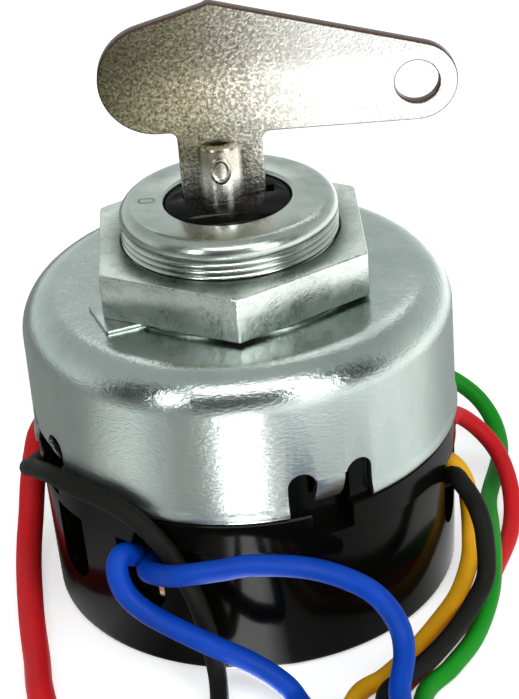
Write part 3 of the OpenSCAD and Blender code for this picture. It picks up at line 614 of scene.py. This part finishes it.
def make_crimp_tab(azimuth):
    """A strip of the wall, bent in over the base's pocket and curled at its end."""
    bend_z, low_z = slot_top_z - tab_drop, can_rim_z + 0.5
    steps = 8
    tab = block("tab", tab_w, can_wall, 0.1, (0, -can_r + can_wall / 2, bend_z + 0.05))
    pick(tab)
    bpy.ops.object.mode_set(mode="EDIT")
    bpy.ops.mesh.select_all(action="DESELECT")
    bpy.ops.object.mode_set(mode="OBJECT")
    for face in tab.data.polygons:
        face.select = face.normal.z < -0.9
    bpy.ops.object.mode_set(mode="EDIT")
    for i in range(steps):
        t0, t1 = i / steps, (i + 1) / steps
        inward = tab_set * (t1 ** 1.6 - t0 ** 1.6)
        bpy.ops.mesh.extrude_region_move(
            TRANSFORM_OT_translate={"value": (0, inward * MM, -(bend_z - low_z) / steps * MM)})
        if i >= steps - 2:
            bpy.ops.transform.resize(value=(0.93, 1, 1), center_override=(0, 0, 0))
    bpy.ops.object.mode_set(mode="OBJECT")
    soften(tab, 0.12, 2, 40)
    return swing(tab, azimuth)


# ---------- neck, nut, washer ----------
def make_neck(material):
    """Turned neck: rounded shoulder, bore, inner flange and thread."""
    core = thread_r - thread_depth
    shoulder_z = neck_top_z - neck_shoulder
    low = nut_z - 0.4
    rings = [(core, low), (core, shoulder_z - 0.75), (thread_r - 0.05, shoulder_z - 0.35)]
    rings += arc((thread_r - neck_shoulder, shoulder_z), neck_shoulder, 0, 90, 12)
    rings += [(neck_bore_r + 0.35, neck_top_z), (neck_bore_r + 0.1, neck_top_z - 0.1),
              (neck_bore_r, neck_top_z - 0.4), (neck_bore_r, flange_z0), (flange_r, flange_z0),
              (flange_r, flange_z1), (thread_r - 0.1, flange_z1), (thread_r - 0.1, low), (core, low)]
    neck = turned("neck", rings, 128)
    thread = make_thread(core, low + 0.1, shoulder_z - 0.45)
    neck = join([neck, thread])
    return finish_piece(neck, "neck", material, "housing", ["threaded_neck"], 75)


def make_thread(core, low, high):
    """The outside thread: one rounded ridge, wound up the neck."""
    clear()
    crest = thread_r - 0.02
    bpy.ops.mesh.primitive_plane_add(size=1, rotation=(math.pi / 2, 0, 0))
    ridge = bpy.context.object
    settle(ridge)
    half = thread_pitch * 0.46
    corners = [(core - 0.1, low - half), (core - 0.1, low + half), (crest, low + half * 0.22),
               (crest, low - half * 0.22)]
    order = sorted(ridge.data.vertices, key=lambda v: math.atan2(v.co.z, v.co.x))
    marks = sorted(corners, key=lambda c: math.atan2(c[1] - low, c[0] - (core + crest) / 2))
    for vertex, (x, z) in zip(order, marks):
        vertex.co = (x * MM, 0, z * MM)
    turns = (high - low) / thread_pitch
    wind = ridge.modifiers.new("wind", "SCREW")
    wind.axis = "Z"
    wind.angle = 2 * math.pi * turns
    wind.screw_offset = (high - low) * MM
    wind.steps = int(96 * turns)
    wind.render_steps = wind.steps
    wind.use_normal_calculate = True
    wind.use_merge_vertices = False
    pick(ridge)
    bpy.ops.object.modifier_apply(modifier=wind.name)
    bpy.ops.object.mode_set(mode="EDIT")
    bpy.ops.mesh.select_all(action="SELECT")
    bpy.ops.mesh.remove_doubles(threshold=0.0000005)
    bpy.ops.mesh.normals_make_consistent(inside=False)
    bpy.ops.object.mode_set(mode="OBJECT")
    return ridge


def make_position_mark(material):
    """The plain 0 struck into the neck's top face: a long ring laid along the radius."""
    points = arc((0.38, 0), 0.52, -90, 90, 12) + arc((-0.38, 0), 0.52, 90, 270, 12)
    mark = wire_ring("mark", points, 0.13)
    mark.location = (-9.2 * MM, 0.45 * MM, (neck_top_z + 0.005) * MM)
    mark.scale = (1, 1, 0.35)
    settle(mark)
    return finish_piece(mark, "neck_zero", material, "housing")


def wire_ring(name, points, radius):
    """A closed round wire through points in X and Y."""
    clear()
    curve = bpy.data.curves.new(name, "CURVE")
    curve.dimensions = "3D"
    curve.bevel_depth = radius * MM
    curve.bevel_resolution = 2
    spline = curve.splines.new("POLY")
    spline.points.add(len(points) - 1)
    for point, (x, y) in zip(spline.points, points):
        point.co = (x * MM, y * MM, 0, 1)
    spline.use_cyclic_u = True
    ring = bpy.data.objects.new(name, curve)
    bpy.context.scene.collection.objects.link(ring)
    pick(ring)
    bpy.ops.object.convert(target="MESH")
    return bpy.context.object


def make_nut(material):
    """Hex nut, its top corners turned off."""
    corner = nut_af / 2 / math.cos(math.radians(30))
    clear()
    bpy.ops.mesh.primitive_cylinder_add(vertices=6, radius=corner * MM, depth=nut_h * MM,
                                        location=(0, 0, (nut_z + nut_h / 2) * MM))
    nut = bpy.context.object
    settle(nut)
    top = nut_z + nut_h
    shape = turned("nut_envelope", [(corner + 0.1, nut_z - 0.5), (corner + 0.1, top - 0.25),
                                    (corner - 0.35, top)], 96, True)
    combine(nut, shape, "INTERSECT")
    bore = rod("nut_bore", thread_r + 0.06, nut_h + 2, (0, 0, nut_z + nut_h / 2), "Z", 128)
    combine(nut, bore)
    soften(nut, 0.26, 3, 28)
    return finish_piece(nut, "nut", material, "housing", ["hex_nut"], 35)


def make_washer(material):
    """Lock washer: a ring under the nut and one lug that stands out at the left."""
    ring_r = thread_r + 2.2
    left, right, cut = -2.0, 6.8, 2.0
    start = math.degrees(math.asin(right / ring_r)) - 90
    end = 270 + math.degrees(math.asin(left / ring_r))
    outline = arc((0, 0), ring_r, start, end, 96)
    outline += [(left, -washer_lug_r + cut), (left + cut, -washer_lug_r), (right - 0.2, -washer_lug_r),
                (right, -washer_lug_r + 0.2)]
    hole = arc((0, 0), thread_r + 0.06, 0, 357, 119)
    washer = flat_plate("washer", outline, [hole], washer_t - 0.02, 0.06)
    washer.location = (0, 0, (can_top_z + washer_t / 2) * MM)
    washer.rotation_euler = (0, 0, math.radians(washer_lug_az))
    settle(washer)
    return finish_piece(washer, "lock_washer", material, "housing", ["tab_washer"])


# ---------- key ----------
def touch_angle(point, centre, radius, side):
    """Angle on a circle where a line from the point just touches it."""
    dx, dz = point[0] - centre[0], point[1] - centre[1]
    towards = math.degrees(math.atan2(dz, dx))
    return towards + side * math.degrees(math.acos(radius / math.hypot(dx, dz)))


def key_outline():
    """The blank in X and Z: ring end, shank, lobe and peak."""
    low = lobe_c[1] - lobe_r
    left_touch = touch_angle(key_peak, lobe_c, lobe_r, 1)
    right_touch = touch_angle(key_peak, bow_c, bow_r, -1)
    outline = arc(bow_c, bow_r, right_touch, -90, 24)
    outline += arc((shank_x1 + 1, low - 1.66), 1, 90, 180, 8)
    outline += arc((shank_x1 - 1, key_tip_z + 1), 1, 0, -90, 6)
    outline += arc((shank_x0 + 1, key_tip_z + 1), 1, -90, -180, 6)
    outline += arc((shank_x0 - 0.9, low - 0.9), 0.9, 0, 90, 8)
    outline += arc(lobe_c, lobe_r, -90, left_touch - 360, 48)
    peak = arc((key_peak[0], key_peak[1] - 1.2), 1.2, 128, 66, 8)
    return outline + peak


def make_key(material, rib_material):
    """The flat blade and the rib on its shank."""
    hole = arc(bow_c, ring_hole_r, 0, 354, 59)
    plate = flat_plate("key_plate", key_outline(), [hole], key_t, 0.22)
    plate.rotation_euler = (math.pi / 2, 0, 0)
    plate.location = (0, (key_front_y + key_t / 2) * MM, 0)
    settle(plate)
    finish_piece(make_rib(), "key_rib", rib_material, "key", ["key"], 35)
    return finish_piece(plate, "key_blade", material, "key", ["key"], 35)


def make_rib():
    """The half-round rib pressed out of the shank, hollow behind, with a plain 0 on its face."""
    top = rib_top_z
    rib = turned("rib", [(rib_r, key_tip_z), (rib_r, top - 0.5), (rib_r - 0.15, top - 0.15),
                         (rib_r - 0.5, top), (rib_r - rib_wall, top), (rib_r - rib_wall, key_tip_z),
                         (rib_r, key_tip_z)], 64)
    rib.location = (rib_x * MM, rib_axis_y * MM, 0)
    settle(rib)
    back = block("back", 8, 4, 30, (rib_x, rib_axis_y + 0.6 + 2, 48))
    combine(rib, back)
    clear()
    middle = ((rib_x - 0.05) * MM, (rib_axis_y - rib_r + 0.1) * MM, rib_zero_z * MM)
    bpy.ops.mesh.primitive_torus_add(major_radius=0.9 * MM, minor_radius=0.26 * MM,
                                     major_segments=40, minor_segments=10, location=middle,
                                     rotation=(math.pi / 2, 0, 0))
    zero = bpy.context.object
    zero.scale = (1.05, 1.5, 1.0)
    settle(zero)
    return join([rib, zero])


# ---------- rotor ----------
def make_rotor(material):
    """Rotor head with a rounded top edge, cut for the key's blade and rib."""
    r, top = rotor_r, rotor_top_z
    rings = [(rotor_body_r, rotor_body_z0), (rotor_body_r, rotor_body_z1), (r, rotor_body_z1),
             (r, seal_groove_z0), (seal_groove_r, seal_groove_z0), (seal_groove_r, seal_groove_z1),
             (r, seal_groove_z1), (r, top - 0.45), (r - 0.12, top - 0.16), (r - 0.4, top)]
    rotor = turned("rotor", rings, 128, True)
    slot_z = key_tip_z - 0.5 + 15
    blade = block("blade_slot", 10.5, key_t + 0.2, 30, (0.15, key_front_y + key_t / 2, slot_z))
    rib = rod("rib_slot", rib_r + 0.12, 30, (rib_x, rib_axis_y, slot_z), "Z", 64)
    half = block("half", 8, 4, 40, (rib_x, key_front_y + key_t + 0.1 + 2, 50))
    combine(rib, half)
    combine(rotor, rib)
    combine(rotor, blade)
    soften(rotor, 0.12, 2, 40)
    return finish_piece(rotor, "rotor_head", material, "rotor", ["key_rotor"], 35)


# ---------- lugs in the windows ----------
def make_lug_tips(material):
    """Narrow tongues that stand out from the faces of the two front lugs into their windows."""
    face = 18.4
    places = [(-61, 22.9, 15.2, 1.5, 1.2), (-60, 22.7, 10.2, 1.1, 0.8), (-28.8, 23.2, 9.3, 1.2, 1.5)]
    tips = []
    for azimuth, out, height, width, tall in places:
        tip = block("tip", width, out - face, tall, (0, -(out + face) / 2, height))
        soften(tip, 0.2, 3, 40)
        tips.append(swing(tip, azimuth))
    tips = join(tips)
    return finish_piece(tips, "lug_tips", material, "housing")


# ---------- bare ends ----------
def make_bare_ends(material):
    """Seven straight strands at each lead's far end."""
    bundles = []
    for _, route, width, _ in leads:
        x, y, z = route[-1]
        strand_r = width * 0.09
        strands = []
        for k in range(7):
            off = 0 if k == 0 else strand_r * 1.9
            turn = k * math.pi / 3
            clear()
            bpy.ops.mesh.primitive_cylinder_add(
                vertices=10, radius=strand_r * MM, depth=strip_length * MM,
                rotation=(math.pi / 2, 0, 0),
                location=((x + off * math.cos(turn)) * MM, (y - strip_length / 2) * MM,
                          (z + off * math.sin(turn)) * MM))
            strand = bpy.context.object
            settle(strand)
            strands.append(strand)
        bundles.append(join(strands))
    ends = join(bundles)
    return finish_piece(ends, "bare_ends", material, "housing", ["stripped_ends"])


# ---------- stage ----------
def make_floor():
    """White paper that looks evenly white to the camera and is uneven only in what the metal reflects:
    there it is painted darker and carries painted light, glowing bands by direction round the switch,
    brightest straight in front.
    """
    clear()
    bpy.ops.mesh.primitive_plane_add(size=6, location=(0, 0, -0.0002))
    floor = bpy.context.object
    floor.name = "floor"
    material = bpy.data.materials.new("floor_paper")
    material.use_nodes = True
    nodes, links = material.node_tree.nodes, material.node_tree.links
    nodes.clear()
    out = nodes.new("ShaderNodeOutputMaterial")
    paper = nodes.new("ShaderNodeBsdfDiffuse")
    place = nodes.new("ShaderNodeTexCoord")
    round_it = nodes.new("ShaderNodeTexGradient")
    round_it.gradient_type = "RADIAL"
    links.new(place.outputs["Object"], round_it.inputs["Vector"])
    # painted light: glowing bands by direction round the switch, seen only in reflections, with a
    # bright strip straight in front
    bands = [(0.0, 0.0), (0.03, 0.0), (0.10, 0.085), (0.165, 0.004), (0.212, 0.05), (0.224, 1.0),
             (0.250, 1.0), (0.270, 0.06), (0.31, 0.034), (0.37, 0.042), (0.45, 0.078),
             (0.56, 0.008), (1.0, 0.0)]
    near_glow = ramp(nodes, links, round_it.outputs["Fac"], [(a, (b, b, b)) for a, b in bands])
    reach = nodes.new("ShaderNodeVectorMath")
    reach.operation = "LENGTH"
    links.new(place.outputs["Object"], reach.inputs[0])
    far = spread_to(nodes, links, reach.outputs["Value"], 0.0, 1.0, 0.095, 0.12)
    sides = nodes.new("ShaderNodeSeparateXYZ")
    links.new(place.outputs["Object"], sides.inputs["Vector"])
    far_glow = spread_to(nodes, links, sides.outputs["X"], 0.0, 0.12, 0.004, 0.034)
    mix = nodes.new("ShaderNodeMix")
    mix.data_type = "FLOAT"
    links.new(far, mix.inputs["Factor"])
    links.new(near_glow, mix.inputs["A"])
    links.new(far_glow, mix.inputs["B"])
    shown = times(nodes, links, mix.outputs["Result"], 13.0)
    path = nodes.new("ShaderNodeLightPath")
    # painted shade: the paper is darker as seen in reflections than as seen by the camera
    white = nodes.new("ShaderNodeMix")
    white.data_type = "RGBA"
    links.new(path.outputs["Is Glossy Ray"], white.inputs["Factor"])
    white.inputs["A"].default_value = (0.86, 0.86, 0.87, 1)
    white.inputs["B"].default_value = (0.48, 0.49, 0.48, 1)
    links.new(white.outputs["Result"], paper.inputs["Color"])
    level = nodes.new("ShaderNodeMix")
    level.data_type = "FLOAT"
    links.new(path.outputs["Is Camera Ray"], level.inputs["Factor"])
    links.new(shown, level.inputs["A"])
    level.inputs["B"].default_value = 0.55
    glow = nodes.new("ShaderNodeEmission")
    seen = times(nodes, links, level.outputs["Result"], seen_rays(nodes, links))
    links.new(seen, glow.inputs["Strength"])
    both = nodes.new("ShaderNodeAddShader")
    links.new(paper.outputs[0], both.inputs[0])
    links.new(glow.outputs[0], both.inputs[1])
    links.new(both.outputs[0], out.inputs["Surface"])
    floor.data.materials.append(material)


def times(nodes, links, value, by):
    """A value multiplied by a number or by another value."""
    product = nodes.new("ShaderNodeMath")
    product.operation = "MULTIPLY"
    links.new(value, product.inputs[0])
    if isinstance(by, float):
        product.inputs[1].default_value = by
    else:
        links.new(by, product.inputs[1])
    return product.outputs[0]


def seen_rays(nodes, links):
    """1 for camera, glossy and transmission rays."""
    path = nodes.new("ShaderNodeLightPath")
    first = nodes.new("ShaderNodeMath")
    first.operation = "MAXIMUM"
    links.new(path.outputs["Is Camera Ray"], first.inputs[0])
    links.new(path.outputs["Is Glossy Ray"], first.inputs[1])
    second = nodes.new("ShaderNodeMath")
    second.operation = "MAXIMUM"
    links.new(first.outputs[0], second.inputs[0])
    links.new(path.outputs["Is Transmission Ray"], second.inputs[1])
    return second.outputs[0]


def make_world():
    """A pale studio: white for the camera, dimmer overhead and round the camera in reflections."""
    world = bpy.data.worlds.new("studio")
    bpy.context.scene.world = world
    world.use_nodes = True
    nodes, links = world.node_tree.nodes, world.node_tree.links
    nodes.clear()
    out = nodes.new("ShaderNodeOutputWorld")
    sky = nodes.new("ShaderNodeBackground")
    sky.inputs["Color"].default_value = (0.94, 1.0, 0.98, 1)
    place = nodes.new("ShaderNodeTexCoord")
    sides = nodes.new("ShaderNodeSeparateXYZ")
    links.new(place.outputs["Generated"], sides.inputs["Vector"])
    height = spread_to(nodes, links, sides.outputs["Z"], 1.0, 0.6, 0.1, 0.7)
    low = spread_to(nodes, links, sides.outputs["Z"], 0.93, 0.0, 0.70, 0.84)
    front = spread_to(nodes, links, sides.outputs["Y"], 1.0, 0.0, -0.36, -0.12)
    shade = spread_to(nodes, links, times(nodes, links, low, front), 1.0, 0.0, 0.0, 1.0)
    tone = times(nodes, links, height, shade)
    path = nodes.new("ShaderNodeLightPath")
    level = nodes.new("ShaderNodeMix")
    level.data_type = "FLOAT"
    links.new(path.outputs["Is Camera Ray"], level.inputs["Factor"])
    links.new(tone, level.inputs["A"])
    level.inputs["B"].default_value = 1.0
    strength = nodes.new("ShaderNodeMix")
    strength.data_type = "FLOAT"
    links.new(seen_rays(nodes, links), strength.inputs["Factor"])
    strength.inputs["A"].default_value = 0.30
    links.new(level.outputs["Result"], strength.inputs["B"])
    links.new(strength.outputs["Result"], sky.inputs["Strength"])
    links.new(sky.outputs[0], out.inputs["Surface"])


def lamp(name, place, aim, width, height, power):
    """A square-cornered soft lamp that faces its aim."""
    data = bpy.data.lights.new(name, "AREA")
    data.shape = "RECTANGLE"
    data.size = width
    data.size_y = height
    data.energy = power
    light = bpy.data.objects.new(name, data)
    bpy.context.scene.collection.objects.link(light)
    light.location = place
    light.rotation_euler = (Vector(aim) - Vector(place)).to_track_quat("-Z", "Y").to_euler()


def make_lights():
    middle = (0, 0, 0.03)
    lamp("softbox_top", (0.04, -0.47, 0.68), middle, 0.7, 0.2, 2.4)
    lamp("softbox_left", (-0.394, -0.504, 0.315), middle, 0.07, 0.35, 0.9)
    lamp("softbox_right", (0.382, -0.525, 0.29), middle, 0.22, 0.35, 1.9)
    lamp("softbox_back", (0.1, 0.6, 0.7), middle, 0.6, 0.4, 0.7)


# ---------- build ----------
make_camera()
slot_material = {
    "red": insulation("red_vinyl", (0.70, 0.013, 0.018), 0.55),
    "black": insulation("black_sheath", (0.008, 0.008, 0.007), 0.6, 0.2, 0.13),
    "blue": insulation("blue_vinyl", (0.0, 0.056, 0.46), 0.5),
    "green": insulation("green_vinyl", (0.008, 0.30, 0.014), 0.5),
    "yellow": insulation("yellow_vinyl", (0.86, 0.42, 0.008), 0.5)}
bare = plain_metal("bare_copper", (0.50, 0.25, 0.13), (0.78, 0.50, 0.34), 0.35)
for lead_name, lead_route, lead_width, lead_slot in leads:
    make_lead(lead_name, lead_route, lead_width, slot_material[lead_slot])
bare_ends = make_bare_ends(bare)

can_metal, neck_metal, nut_metal = zinc_can(), zinc_neck(), zinc_nut()
make_can(can_metal)
make_neck(neck_metal)
make_position_mark(plain_metal("struck_mark", (0.14, 0.16, 0.155), (0.24, 0.27, 0.26), 0.4))
make_nut(nut_metal)
make_washer(bright_washer())
make_key(nickel_key(), nickel_key(False))
make_rotor(scratched_black())

brown = plastic("brown_phenolic", (0.20, 0.085, 0.035), 0.4, 700, 0.1)
inner = plastic("inner_black", (0.03, 0.03, 0.03), 0.4)
brass = plain_metal("stamped_brass", (0.50, 0.38, 0.15), (0.78, 0.62, 0.30), 0.32)
make_lug_tips(plain_metal("tinned_brass", (0.50, 0.36, 0.17), (0.82, 0.72, 0.50), 0.25))
steel = plain_metal("plain_steel", (0.36, 0.36, 0.36), (0.58, 0.58, 0.57), 0.3)
wire = plain_metal("spring_wire", (0.30, 0.30, 0.31), (0.5, 0.5, 0.5), 0.3)
dress("base_moulding", plastic("gloss_base", (0.002, 0.002, 0.002), 0.12, 900, 0.05,
                               (0.004, 0.004, 0.003), 0.07))
for node in ("contact_carrier", "contact_plate", "base_cover"):
    dress(node, brown)
for node in ("contact_studs", "terminal_lugs", "thrust_washer"):
    dress(node, brass)
for node in ("drive_spindle", "detent_balls", "cover_screws"):
    dress(node, steel)
for node in ("spindle_clip", "detent_springs", "contact_spring"):
    dress(node, wire)
for node in ("bridge_contact", "link_bar", "conductor_joints"):
    dress(node, bare)
dress("detent_housing", inner)
dress("rotor_seal", plastic("seal_rubber", (0.02, 0.02, 0.02), 0.7))

make_floor()
make_world()
make_lights()
bpy.context.scene.view_settings.view_transform = "Standard"
